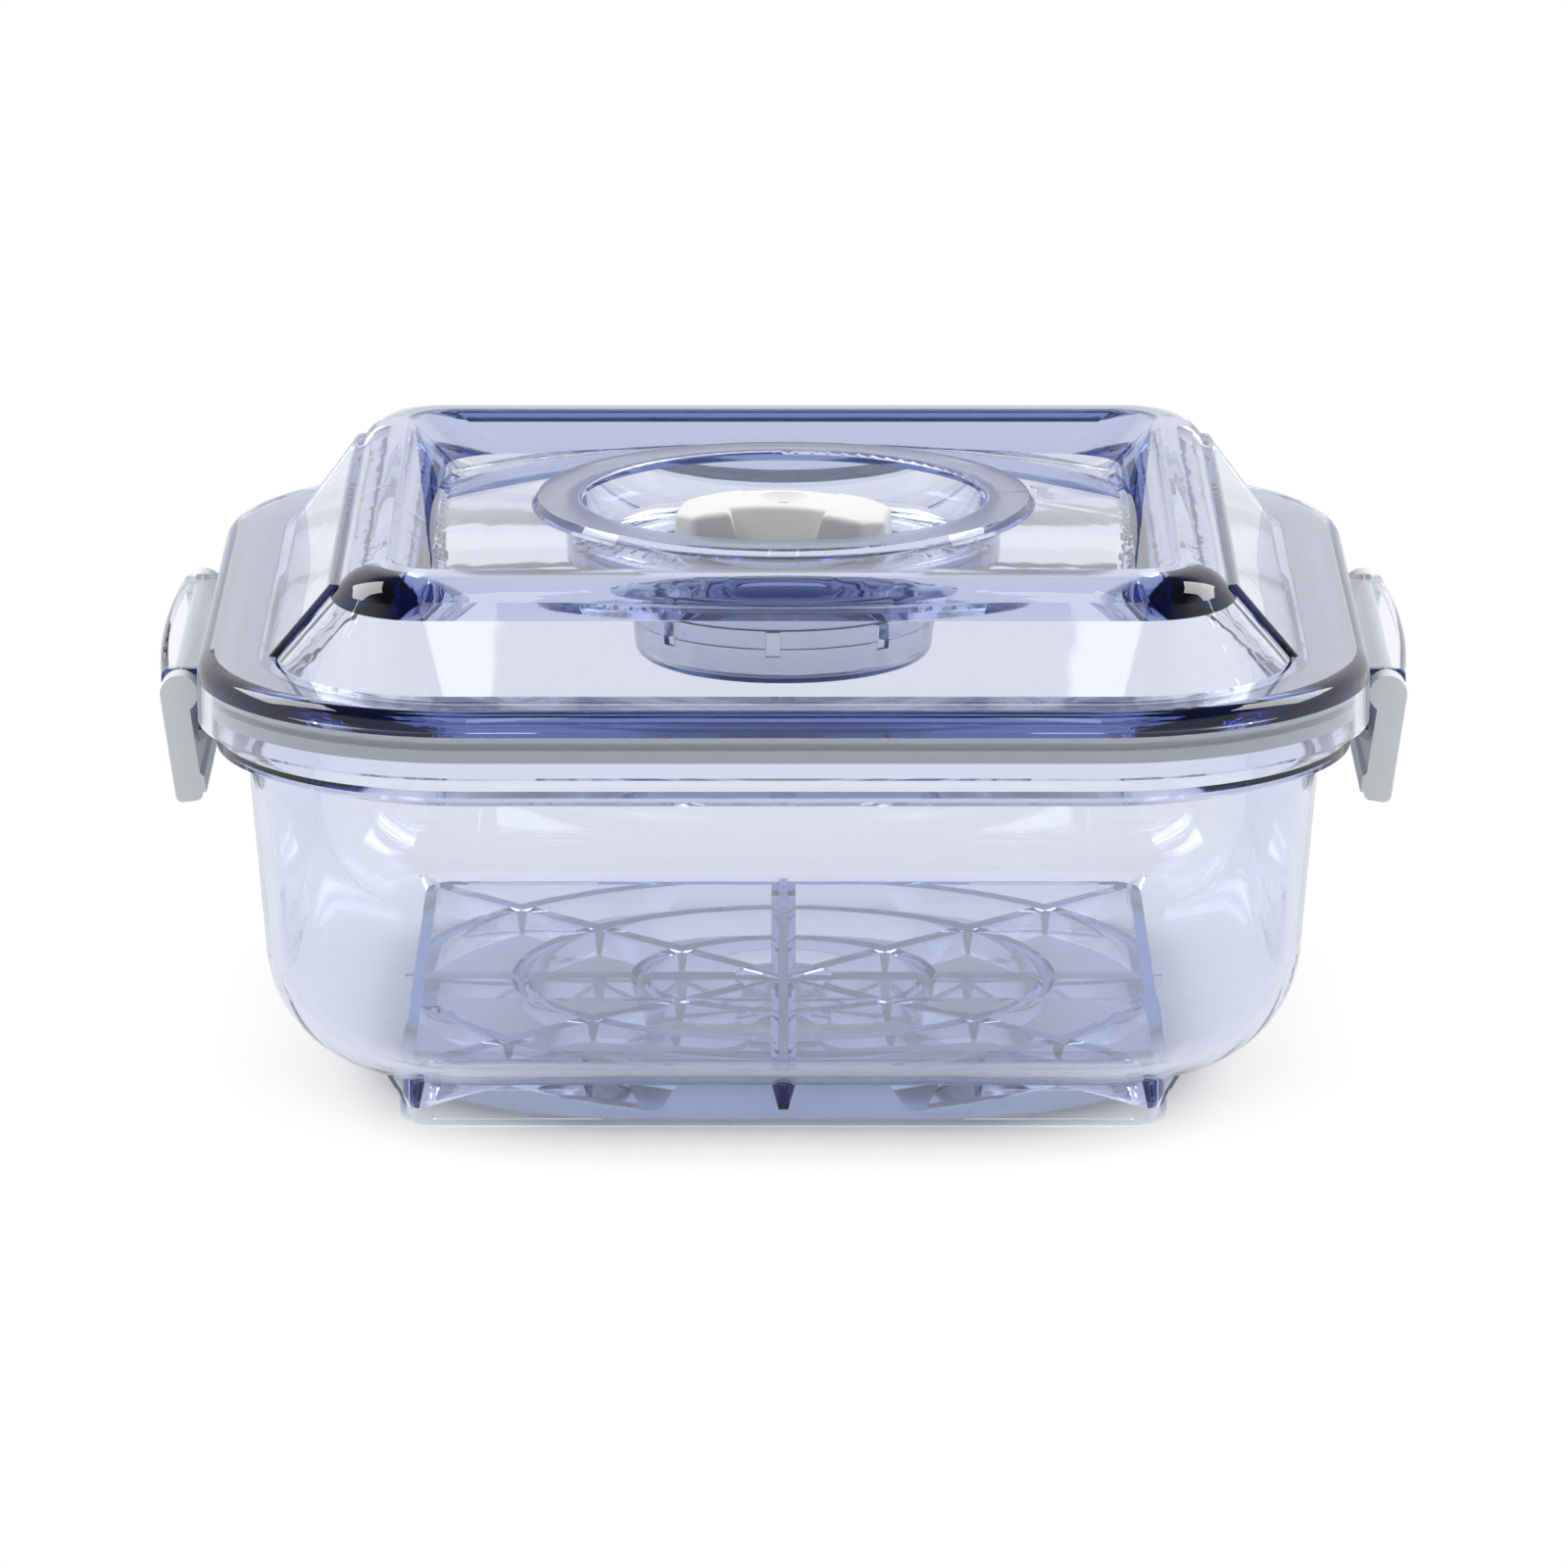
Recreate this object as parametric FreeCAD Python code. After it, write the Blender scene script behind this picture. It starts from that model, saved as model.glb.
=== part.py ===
import FreeCAD, Part
import math
import os

# Vacuum seal food canister: a clear container, a clear clamped lid and a quarter-turn valve
# Millimetres. The origin is the centre of the foot's underside, +X points to the right clip,
# +Y to the back and +Z up. Names that end in z are heights above the table.

V = FreeCAD.Vector
UP = V(0, 0, 1)
SIDEWAYS = V(1, 0, 0)
ORIGIN = V(0, 0, 0)

# Shared sizes
rim_half_x = 110.0
rim_half_y = 105.0
rim_corner_radius = 52.0
lid_top_z = 107.5
overrun = 3.0
match_tolerance = 0.01

# Container walls
container_wall = 2.6
underside_z = 8.5
wall_lean = 5.8
bottom_round = 24.0
band_height = 9.6
band_step = 4.8
band_lead = 2.2
shoulder_rise = 1.6

# Foot ring and the ribs under the floor
foot_half_x = 72.3
foot_half_y = 71.0
foot_corner_radius = 7.0
foot_wall = 2.4
rib_depth = 5.5
rib_root = 3.4
rib_tip = 1.2
cross_rib_root = 4.8
cross_rib_tip = 1.8
rib_ring_radii = (28.0, 51.0, 73.0)
gate_disc_radius = 9.6
gate_disc_depth = 2.2
fin_rise = 6.0
fin_low_z = 1.5
side_fin_reach = 6.0
corner_fin_reach = 9.0
fin_width = 1.6
window_inner_low_x = 34.0
window_inner_high_x = 37.2
window_outer_low_x = 66.0
window_outer_high_x = 63.6
window_low_z = 1.5
window_high_z = 7.2
window_depth = 0.9

# Catch ledges on the container's left and right
ledge_gap = 0.4
ledge_half_length = 39.0
ledge_drop = 11.4
ledge_thickness = 3.2
ledge_edge_round = 0.9
gusset_reach = 6.0
gusset_drop = 4.5
gusset_width = 2.0
gusset_places_y = (-30.0, 0.0, 30.0)

# Lid skirt, flange and slopes
lid_gap = 1.0
skirt_wall = 2.6
skirt_drop = 4.6
lid_rise = 19.3
flange_thickness = 4.8
flange_edge_round = 3.4
slope_base_half_x = 94.7
slope_base_half_y = 91.0
slope_base_corner = 32.0
slope_top_half_x = 79.6
slope_top_half_y = 78.0
slope_top_corner = 11.0
slope_inset = 3.4
lid_wall = 2.6
crown_round = 9.0
bead_depth = 8.0
panel_proud = 1.6
panel_base_half_length = 60.0
panel_top_half_length = 66.0
panel_drop = 4.0
panel_edge_round = 0.9

# Recess in the lid's top, with its sloping floor and the dial ring
recess_top_half_x = 73.5
recess_top_half_y = 69.6
recess_top_corner = 8.0
recess_low_corner = 13.0
recess_wall_lean = 12.0
recess_depth = 10.9
recess_edge_round = 2.0
recess_floor_round = 2.5
recess_floor_drop_share = 0.176
dial_radius = 47.2
dial_drop = 1.5
dial_step = 1.2
dial_edge = 0.8

# Well, boss and vents for the valve
well_radius = 39.0
well_foot_radius = 36.4
well_depth = 10.5
well_round = 3.0
well_lip_round = 1.0
boss_radius = 27.2
boss_wall = 2.4
boss_depth = 7.9
vent_radius = 1.5
vent_circle_radius = 13.0
vent_cluster_turn = 18.0
vent_turn = 45.0
quarter_turn = 90.0

# Gasket and the lid rib that keeps it in place
keeper_half_inset = 11.8
keeper_wall = 2.4
keeper_depth = 2.4
gasket_height = 3.0
gasket_play = 0.2
lip_drop = 2.0
inner_lip_wall = 1.6
gasket_groove_rise = 0.6
gasket_groove_height = 1.2
gasket_groove_depth = 2.2

# Ears on the lid and the hinge line of the clips
hinge_reach = 4.0
hinge_drop = 3.0
ear_half_length = 39.3
ear_plate = 1.7
ear_rise = 3.6
ear_reach = 7.6
ear_bow = 1.7
ear_lip = 0.9
ear_lip_wall = 1.5
ear_edge_round = 1.5
lug_width = 3.0
lug_radius = 3.3
rod_radius = 1.6
rod_play = 0.05
snap_slot = 2.4

# Clips
clip_half_length = 45.0
clip_lean = 8.0
clip_length = 20.9
clip_thickness = 5.2
knuckle_radius = 3.6
clip_end_round = 1.4
clip_side_gap = 0.4
scoop_radius = 6.0
neck_outer = 1.2
finger_lip_height = 3.8
finger_lip_reach = 0.7
hook_gap = 0.4
hook_height = 2.6
hook_reach = 2.2
hook_half_length = 36.0
hook_lead = 1.0

# Valve knob
knob_half_length = 20.4
knob_half_width = 10.3
knob_end_half = 5.6
knob_shoulder_x = 16.0
knob_corner_round = 3.4
scoop_low_half_x = 7.4
scoop_high_half_x = 9.4
scoop_depth = 3.1
knob_turn = -8.0
knob_low_gap = 0.5
knob_height = 9.5
knob_crown_radius = 80.0
knob_edge_round = 1.2
knob_collar_radius = 10.8
knob_collar_height = 2.5
dimple_radius = 5.25
dimple_depth = 1.5
port_radius = 1.5
port_length = 2.4
hub_radius = 6.0
hub_play = 0.05
hub_tail = 0.8
hub_bore_radius = 3.2
hub_flat_half = 5.0
hub_flat_play = 0.1

# Valve stack under the well floor
valve_disc_radius = 21.5
valve_disc_thickness = 1.9
valve_face_gap = 0.1
carrier_web = 1.5
carrier_rim_wall = 3.5
carrier_height = 2.9
retaining_ring_radius = 8.6
retaining_ring_height = 1.0
retaining_ring_slot = 3.0
ring_groove_depth = 0.8
o_ring_wire = 0.9
o_ring_play = 0.3
seat_height = 2.0
seat_drop = 5.5
seat_hole_radius = 1.2
poppet_radius = 2.6
poppet_height = 1.6
poppet_stem_radius = 0.8
poppet_stem_length = 2.6

# Splash cup under the lid
cup_top_radius = 29.0
cup_foot_radius = 28.4
cup_wall = 1.2
cup_depth = 10.4
cup_grip = 6.5
cup_floor = 1.4
cup_foot_round = 2.4
cup_ring_drop = 3.5
cup_ring_wall = 1.6
cup_slot_count = 8
cup_slot_width = 2.8
cup_slot_height = 4.8
cup_slot_turn = -4.0

# Heights that follow, from the lid's top down
flange_top_z = lid_top_z - lid_rise
flange_low_z = flange_top_z - flange_thickness
keeper_low_z = flange_low_z - keeper_depth
container_rim_z = flange_low_z - gasket_height
skirt_low_z = container_rim_z - skirt_drop
ledge_low_z = container_rim_z - ledge_drop
ledge_high_z = ledge_low_z + ledge_thickness
band_low_z = container_rim_z - band_height
floor_z = underside_z + container_wall
rib_low_z = underside_z - rib_depth
hinge_z = container_rim_z - hinge_drop
ear_top_z = hinge_z + ear_rise
recess_low_z = lid_top_z - recess_depth
dial_top_z = lid_top_z - dial_drop
well_floor_z = dial_top_z - well_depth
well_under_z = well_floor_z - lid_wall
boss_low_z = well_under_z - boss_depth
knob_low_z = well_floor_z + knob_low_gap
knob_top_z = knob_low_z + knob_height
valve_disc_top_z = well_under_z - valve_face_gap
carrier_top_z = valve_disc_top_z - valve_disc_thickness
carrier_low_z = carrier_top_z - carrier_height
ring_low_z = carrier_low_z - retaining_ring_height
hub_low_z = ring_low_z - hub_tail
seat_low_z = well_floor_z - seat_drop
cup_low_z = boss_low_z - cup_depth
cup_top_z = boss_low_z + cup_grip
cup_ring_low_z = boss_low_z - cup_ring_drop
cup_slot_low_z = boss_low_z - cup_slot_height

# Other sizes that follow
band_half_x = rim_half_x - skirt_wall - lid_gap
band_half_y = rim_half_y - skirt_wall - lid_gap
band_corner = rim_corner_radius - skirt_wall - lid_gap
body_half_x = band_half_x - band_step
body_half_y = band_half_y - band_step
body_corner = band_corner - band_step
hinge_x = rim_half_x + hinge_reach
ear_end_x = rim_half_x + ear_reach
counterbore_radius = hub_radius + o_ring_wire + o_ring_wire + o_ring_play
clip_inner = knuckle_radius - clip_thickness
lean_out = V(math.cos(math.radians(clip_lean)), 0, -math.sin(math.radians(clip_lean)))
lean_down = V(-math.sin(math.radians(clip_lean)), 0, -math.cos(math.radians(clip_lean)))
hook_drop = (ledge_low_z - hook_gap - hinge_z - clip_inner * lean_out.z) / lean_down.z
ledge_reach_x = hinge_x + clip_inner * lean_out.x + hook_drop * lean_down.x - ledge_gap


# Shape helpers

def rounded_rectangle(half_x, half_y, radius, z):
    inner_x = half_x - radius
    inner_y = half_y - radius
    slant = radius * math.sqrt(0.5)
    edges = []
    corners = ((1, 1), (-1, 1), (-1, -1), (1, -1))
    for index, (sx, sy) in enumerate(corners):
        on_side = V(sx * half_x, sy * inner_y, z)
        on_front = V(sx * inner_x, sy * half_y, z)
        middle = V(sx * (inner_x + slant), sy * (inner_y + slant), z)
        first, last = (on_side, on_front) if sx == sy else (on_front, on_side)
        edges.append(Part.Arc(first, middle, last).toShape())
        next_x, next_y = corners[(index + 1) % len(corners)]
        if sx == sy:
            following = V(next_x * inner_x, next_y * half_y, z)
        else:
            following = V(next_x * half_x, next_y * inner_y, z)
        edges.append(Part.makeLine(last, following))
    return Part.Wire(edges)


def slab(half_x, half_y, radius, low, high):
    return Part.Face(rounded_rectangle(half_x, half_y, radius, low)).extrude(UP * (high - low))


def frame_ring(half_x, half_y, radius, wall, low, high):
    outer = slab(half_x, half_y, radius, low, high)
    return outer.cut(slab(half_x - wall, half_y - wall, radius - wall, low - overrun, high + overrun))


def frustum(low, high):
    return Part.makeLoft([rounded_rectangle(*low), rounded_rectangle(*high)], True, True)


def revolved(points):
    corners = [V(r, 0, z) for r, z in points]
    return Part.Face(Part.makePolygon(corners + corners[:1])).revolve(ORIGIN, UP, 360)


def disc(radius, low, high):
    return Part.makeCylinder(radius, high - low, V(0, 0, low))


def tube(radius, bore, low, high):
    return disc(radius, low, high).cut(disc(bore, low - overrun, high + overrun))


def block(low_x, high_x, low_y, high_y, low_z, high_z):
    return Part.makeBox(high_x - low_x, high_y - low_y, high_z - low_z, V(low_x, low_y, low_z))


def prism_along_y(corners, low_y, high_y):
    points = [V(x, low_y, z) for x, z in corners]
    return Part.Face(Part.makePolygon(points + points[:1])).extrude(V(0, high_y - low_y, 0))


def rod_along_y(radius, low_y, high_y):
    return Part.makeCylinder(radius, high_y - low_y, V(hinge_x, low_y, hinge_z), V(0, 1, 0))


def turned(shape, degrees):
    copy = shape.copy()
    copy.rotate(ORIGIN, UP, degrees)
    return copy


def mirrored(shape):
    return shape.mirror(ORIGIN, SIDEWAYS)


def flat_edges(shape, z):
    low = z - match_tolerance
    high = z + match_tolerance
    return [e for e in shape.Edges if e.BoundBox.ZMin > low and e.BoundBox.ZMax < high]


def between(low, high, low_z, high_z, z):
    return low + (high - low) * (z - low_z) / (high_z - low_z)


# Container

def container_section(z, inset):
    lean = wall_lean * (container_rim_z - z) / (container_rim_z - underside_z)
    return (body_half_x - lean - inset, body_half_y - lean - inset, body_corner - lean - inset, z)


def straight_rib(root, tip, angle):
    half_length = foot_half_x + foot_half_y
    top_z = underside_z + container_wall
    lean = (root - tip) / (underside_z - rib_low_z) * container_wall
    section = ((-tip / 2, rib_low_z), (tip / 2, rib_low_z),
               ((root + lean) / 2, top_z), (-(root + lean) / 2, top_z))
    return turned(prism_along_y(section, -half_length, half_length), angle)


def ring_rib(radius):
    top_z = underside_z + container_wall
    lean = (rib_root - rib_tip) / (underside_z - rib_low_z) * container_wall
    return revolved(((radius - rib_tip / 2, rib_low_z), (radius + rib_tip / 2, rib_low_z),
                     (radius + (rib_root + lean) / 2, top_z), (radius - (rib_root + lean) / 2, top_z)))


def foot_ribs():
    ribs = disc(gate_disc_radius, underside_z - gate_disc_depth, floor_z)
    for radius in rib_ring_radii:
        ribs = ribs.fuse(ring_rib(radius))
    corner_angle = math.degrees(math.atan2(foot_half_x, foot_half_y))
    for angle in (corner_angle, -corner_angle):
        ribs = ribs.fuse(straight_rib(rib_root, rib_tip, angle))
    for angle in (0, quarter_turn):
        ribs = ribs.fuse(straight_rib(cross_rib_root, cross_rib_tip, angle))
    inside = slab(foot_half_x - foot_wall / 2, foot_half_y - foot_wall / 2,
                  foot_corner_radius - foot_wall / 2, rib_low_z, floor_z)
    return ribs.common(inside)


def outside_fin(start, reach, angle):
    section = ((start, fin_low_z), (start + reach, underside_z + fin_rise),
               (start, underside_z + fin_rise))
    fin = prism_along_y(section, -fin_width / 2, fin_width / 2)
    return turned(fin, angle)


def foot_fins():
    bend = foot_corner_radius * (1 - math.sqrt(0.5))
    corner_start = math.hypot(foot_half_x - bend, foot_half_y - bend) - foot_wall / 2
    corner_angle = math.degrees(math.atan2(foot_half_y - bend, foot_half_x - bend))
    fins = []
    for side in (0, 180):
        fins.append(outside_fin(foot_half_x - foot_wall / 2, side_fin_reach, side))
        fins.append(outside_fin(foot_half_y - foot_wall / 2, side_fin_reach, side + quarter_turn))
        fins.append(outside_fin(corner_start, corner_fin_reach, side + corner_angle))
        fins.append(outside_fin(corner_start, corner_fin_reach, side - corner_angle))
    return fins


def foot_window(side_x, side_y):
    section = [(side_x * x, z) for x, z in ((window_inner_low_x, window_low_z),
                                            (window_outer_low_x, window_low_z),
                                            (window_outer_high_x, window_high_z),
                                            (window_inner_high_x, window_high_z))]
    faces_y = sorted((side_y * (foot_half_y - window_depth), side_y * (foot_half_y + overrun)))
    return prism_along_y(section, *faces_y)


def catch_ledge():
    inner_x = body_half_x - container_wall / 2
    shelf = block(inner_x, ledge_reach_x, -ledge_half_length, ledge_half_length, ledge_low_z, ledge_high_z)
    shelf = shelf.makeFillet(ledge_edge_round, [e for e in shelf.Edges
                                                if e.BoundBox.XMin > ledge_reach_x - match_tolerance
                                                and e.BoundBox.ZMin > ledge_high_z - match_tolerance])
    gusset = ((inner_x, ledge_low_z), (body_half_x + gusset_reach, ledge_low_z),
              (inner_x, ledge_low_z - gusset_drop))
    for y in gusset_places_y:
        shelf = shelf.fuse(prism_along_y(gusset, y - gusset_width / 2, y + gusset_width / 2))
    return shelf


def rim_room():
    # The wall jogs outwards under the rim, so the inside steps out with it
    rim_inner = (band_half_x - container_wall, band_half_y - container_wall, band_corner - container_wall)
    step_high_z = band_low_z + shoulder_rise
    step_low = container_section(step_high_z - band_lead, container_wall)
    room = slab(*rim_inner, step_high_z, container_rim_z + overrun)
    return room.fuse(frustum(step_low, (*rim_inner, step_high_z)))


def container():
    body = frustum(container_section(underside_z, 0), container_section(container_rim_z, 0))
    body = body.makeFillet(bottom_round, flat_edges(body, underside_z))
    band_root = container_section(band_low_z - band_lead, 0)
    band = slab(band_half_x, band_half_y, band_corner, band_low_z, container_rim_z)
    body = body.fuse(band)
    body = body.fuse(frustum(band_root, (band_half_x, band_half_y, band_corner, band_low_z)))
    ring_top_z = underside_z + container_wall / 2
    ring = frame_ring(foot_half_x, foot_half_y, foot_corner_radius, foot_wall, 0, ring_top_z)
    for side_x in (-1, 1):
        for side_y in (-1, 1):
            ring = ring.cut(foot_window(side_x, side_y))
    body = body.fuse([ring, foot_ribs(), catch_ledge(), mirrored(catch_ledge())] + foot_fins())
    inside = frustum(container_section(floor_z, container_wall),
                     container_section(container_rim_z + overrun, container_wall))
    inside = inside.makeFillet(bottom_round - container_wall, flat_edges(inside, floor_z))
    return body.cut([inside, rim_room()]).removeSplitter()


# Lid

def slope_section(z, inset):
    level = lambda low, high: between(low, high, flange_top_z, lid_top_z, z) - inset
    return (level(slope_base_half_x, slope_top_half_x), level(slope_base_half_y, slope_top_half_y),
            max(level(slope_base_corner, slope_top_corner), lid_wall), z)


def side_panel():
    top_z = lid_top_z - panel_drop
    inner_x = slope_top_half_x - lid_wall
    base_x = slope_base_half_x + panel_proud
    top_x = slope_section(top_z, 0)[0] + panel_proud

    def sheet(outer_x, half_length, z):
        return Part.makePolygon([V(inner_x, -half_length, z), V(outer_x, -half_length, z),
                                 V(outer_x, half_length, z), V(inner_x, half_length, z),
                                 V(inner_x, -half_length, z)])

    panel = Part.makeLoft([sheet(base_x, panel_base_half_length, flange_top_z),
                           sheet(top_x, panel_top_half_length, top_z)], True, True)
    outer_edges = [e for e in panel.Edges if e.BoundBox.XMin > top_x - match_tolerance
                   and e.BoundBox.ZMax > flange_top_z + match_tolerance]
    return panel.makeFillet(panel_edge_round, outer_edges)


def recess_section(z, inset):
    lean = recess_wall_lean * (lid_top_z - z) / (lid_top_z - recess_low_z)
    corner = between(recess_low_corner, recess_top_corner, recess_low_z, lid_top_z, z) + inset
    return (recess_top_half_x - lean + inset, recess_top_half_y - lean + inset, corner, z)


def recess_floor(drop):
    # The floor falls away from the dial ring towards the recess's corners
    reach = recess_top_half_x + recess_top_half_y
    edge_z = dial_top_z - dial_step - drop
    foot_z = edge_z - (reach - dial_radius) * recess_floor_drop_share
    return revolved(((0, foot_z - overrun), (reach, foot_z - overrun), (reach, foot_z),
                     (dial_radius + dial_edge, edge_z), (dial_radius, dial_top_z - drop),
                     (0, dial_top_z - drop)))


def recess_room(low_z, inset, drop):
    # The space above the recess's floor, with its floor rounded into its walls
    room = frustum(recess_section(low_z, inset), recess_section(lid_top_z, inset))
    room = room.cut(recess_floor(drop))
    floor_edges = [e for e in room.Edges if e.BoundBox.ZMax < dial_top_z - drop - dial_step
                   and max(abs(e.BoundBox.Center.x), abs(e.BoundBox.Center.y)) > dial_radius + dial_edge]
    return room.makeFillet(recess_floor_round + inset, floor_edges)


def well_cut():
    cut = revolved(((0, well_floor_z), (well_foot_radius, well_floor_z),
                    (well_radius, dial_top_z), (well_radius, lid_top_z), (0, lid_top_z)))
    return cut.makeFillet(well_round, flat_edges(cut, well_floor_z))


def lid_top_solid():
    flange = slab(rim_half_x, rim_half_y, rim_corner_radius, skirt_low_z, flange_top_z)
    flange = flange.makeFillet(flange_edge_round, flat_edges(flange, flange_top_z))
    slopes = frustum(slope_section(flange_top_z, 0), slope_section(lid_top_z, 0))
    slopes = slopes.makeFillet(crown_round, flat_edges(slopes, lid_top_z))
    solid = flange.fuse([slopes, side_panel(), mirrored(side_panel())])
    solid = solid.cut(recess_room(recess_low_z, 0, 0))
    rim_edges = [e for e in flat_edges(solid, lid_top_z)
                 if e.BoundBox.XMax < recess_top_half_x + match_tolerance
                 and e.BoundBox.XMin > -recess_top_half_x - match_tolerance
                 and e.BoundBox.YMax < recess_top_half_y + match_tolerance
                 and e.BoundBox.YMin > -recess_top_half_y - match_tolerance]
    return solid.makeFillet(recess_edge_round, rim_edges)


def lid_hollow():
    skirt_room = slab(rim_half_x - skirt_wall, rim_half_y - skirt_wall, rim_corner_radius - skirt_wall,
                      skirt_low_z - overrun, flange_low_z)
    # The bead round the recess is solid, so the hollow rises above its foot only under the recess
    bead_low_z = lid_top_z - bead_depth
    room = frustum(slope_section(flange_low_z - overrun, slope_inset), slope_section(bead_low_z, slope_inset))
    room = room.fuse(frustum(recess_section(bead_low_z, 0), recess_section(lid_top_z, 0)))
    room = room.cut(recess_room(recess_low_z - lid_wall - overrun, lid_wall, lid_wall))
    room = room.cut(disc(well_radius + lid_wall, well_under_z, lid_top_z))
    return skirt_room.fuse(room)


def vent_holes(turn, radius, low, high):
    holes = []
    for side in (0, 180):
        for step in (-vent_cluster_turn, 0, vent_cluster_turn):
            hole = disc(radius, low - overrun, high + overrun)
            hole.translate(V(vent_circle_radius, 0, 0))
            holes.append(turned(hole, turn + side + step))
    return holes


def ear():
    root_x = rim_half_x - skirt_wall / 2

    def bowed_plate(inset, low, high):
        half = ear_half_length - inset
        end_x = ear_end_x - inset
        corners = [V(end_x, half, low), V(root_x, half, low), V(root_x, -half, low), V(end_x, -half, low)]
        bow = Part.Arc(corners[3], V(end_x + ear_bow, 0, low), corners[0]).toShape()
        lines = [Part.makeLine(corners[i], corners[i + 1]) for i in range(3)]
        return Part.Face(Part.Wire(lines + [bow])).extrude(UP * (high - low))

    plate_low_z = ear_top_z - ear_plate
    lip_low_z = plate_low_z - ear_lip
    plate = bowed_plate(0, lip_low_z, ear_top_z)
    room = bowed_plate(ear_lip_wall, lip_low_z - overrun, plate_low_z)
    plate = plate.makeFillet(ear_edge_round, [e for e in flat_edges(plate, ear_top_z)
                                              if e.BoundBox.XMin > ear_end_x - match_tolerance])
    plate = plate.cut(room)
    cuts = [rod_along_y(rod_radius + rod_play, -clip_half_length, clip_half_length)]
    for side in (-1, 1):
        faces_y = sorted((side * ear_half_length, side * (ear_half_length - lug_width)))
        arm = block(root_x, hinge_x, *faces_y, hinge_z - rod_radius, plate_low_z)
        lug = arm.fuse(rod_along_y(lug_radius, *faces_y))
        lug = lug.common(block(root_x, hinge_x + lug_radius, *faces_y, hinge_z - lug_radius, plate_low_z))
        plate = plate.fuse(lug)
        slot_high_z = min(hinge_z + snap_slot / 2, lip_low_z)
        cuts.append(block(hinge_x, hinge_x + lug_radius + overrun, *faces_y,
                          hinge_z - snap_slot / 2, slot_high_z))
    return plate.cut(cuts)


def lid_shell():
    solid = lid_top_solid().cut(lid_hollow()).cut(well_cut())
    lip = [e for e in flat_edges(solid, dial_top_z) if e.BoundBox.XMax < well_radius + match_tolerance]
    solid = solid.makeFillet(well_lip_round, lip)
    keeper = frame_ring(rim_half_x - keeper_half_inset, rim_half_y - keeper_half_inset,
                        rim_corner_radius - keeper_half_inset, keeper_wall, keeper_low_z, flange_low_z)
    boss = tube(boss_radius, boss_radius - boss_wall, boss_low_z, well_under_z)
    solid = solid.fuse([keeper, boss, ear(), mirrored(ear())])
    bore = disc(hub_radius + hub_play, well_under_z - overrun, well_floor_z + overrun)
    o_ring_seat = disc(counterbore_radius, well_floor_z - o_ring_wire * 2 - hub_play, well_floor_z + overrun)
    vents = vent_holes(vent_turn, vent_radius, well_under_z, well_floor_z)
    return solid.cut([bore, o_ring_seat] + vents).removeSplitter()


# Gasket

def lid_gasket():
    inset = skirt_wall + gasket_play
    inner_inset = keeper_half_inset - gasket_play
    body = frame_ring(rim_half_x - inset, rim_half_y - inset, rim_corner_radius - inset,
                      inner_inset - inset, container_rim_z, flange_low_z)
    lip_low_z = container_rim_z - lip_drop
    outer_lip = frame_ring(rim_half_x - inset, rim_half_y - inset, rim_corner_radius - inset,
                           lid_gap - gasket_play * 2, lip_low_z, container_rim_z)
    lip_gap = container_wall + gasket_play * 2
    inner_lip = frame_ring(band_half_x - lip_gap, band_half_y - lip_gap, band_corner - lip_gap,
                           inner_lip_wall, lip_low_z, container_rim_z)
    groove_low_z = container_rim_z + gasket_groove_rise
    groove = frame_ring(rim_half_x, rim_half_y, rim_corner_radius, inset + gasket_groove_depth,
                        groove_low_z, groove_low_z + gasket_groove_height)
    return body.fuse([outer_lip, inner_lip]).cut(groove).removeSplitter()


# Clips

def on_lever(out, down):
    point = V(hinge_x, 0, hinge_z) + lean_out * out + lean_down * down
    return (point.x, point.z)


def clip():
    inner = clip_inner
    lever = prism_along_y((on_lever(knuckle_radius, 0), on_lever(knuckle_radius, clip_length),
                           on_lever(inner, clip_length), on_lever(inner, 0)),
                          -clip_half_length, clip_half_length)
    foot_x, foot_z = on_lever(inner, clip_length)
    low_edges = [e for e in lever.Edges if e.BoundBox.YLength > clip_half_length
                 and e.BoundBox.ZMax < foot_z + match_tolerance]
    lever = lever.makeFillet(clip_end_round, low_edges)
    lip_foot = clip_length - clip_end_round
    lip = prism_along_y((on_lever(inner, lip_foot), on_lever(inner - finger_lip_reach, lip_foot),
                         on_lever(inner - finger_lip_reach, lip_foot - finger_lip_height + finger_lip_reach),
                         on_lever(inner, lip_foot - finger_lip_height)), -clip_half_length, clip_half_length)
    hook = prism_along_y((on_lever(inner, hook_drop + hook_height), on_lever(inner, hook_drop),
                          on_lever(inner - hook_reach, hook_drop + hook_lead / 2),
                          on_lever(inner - hook_reach, hook_drop + hook_height - hook_lead)),
                         -hook_half_length, hook_half_length)
    knuckles = rod_along_y(knuckle_radius, -clip_half_length, clip_half_length)
    solid = lever.fuse([lip, hook, knuckles])
    # Between the end knuckles only the rod and a thin neck are left beside the ear's lip
    open_half = ear_half_length + clip_side_gap
    neck = prism_along_y((on_lever(neck_outer, 0), on_lever(neck_outer, scoop_radius + overrun),
                          on_lever(inner, scoop_radius + overrun), on_lever(inner, 0)), -open_half, open_half)
    scoop = rod_along_y(scoop_radius, -open_half, open_half).cut(neck)
    rod = rod_along_y(rod_radius, -clip_half_length, clip_half_length)
    cuts = [scoop]
    for side in (-1, 1):
        faces_y = sorted((side * open_half, side * (ear_half_length - lug_width - clip_side_gap)))
        cuts.append(rod_along_y(lug_radius + clip_side_gap, *faces_y))
    return solid.cut(cuts).fuse(rod).removeSplitter()


# Valve knob and the parts that turn with it

def flat_hub(half, low, high):
    return block(-half, half, -hub_radius, hub_radius, low, high)


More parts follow.
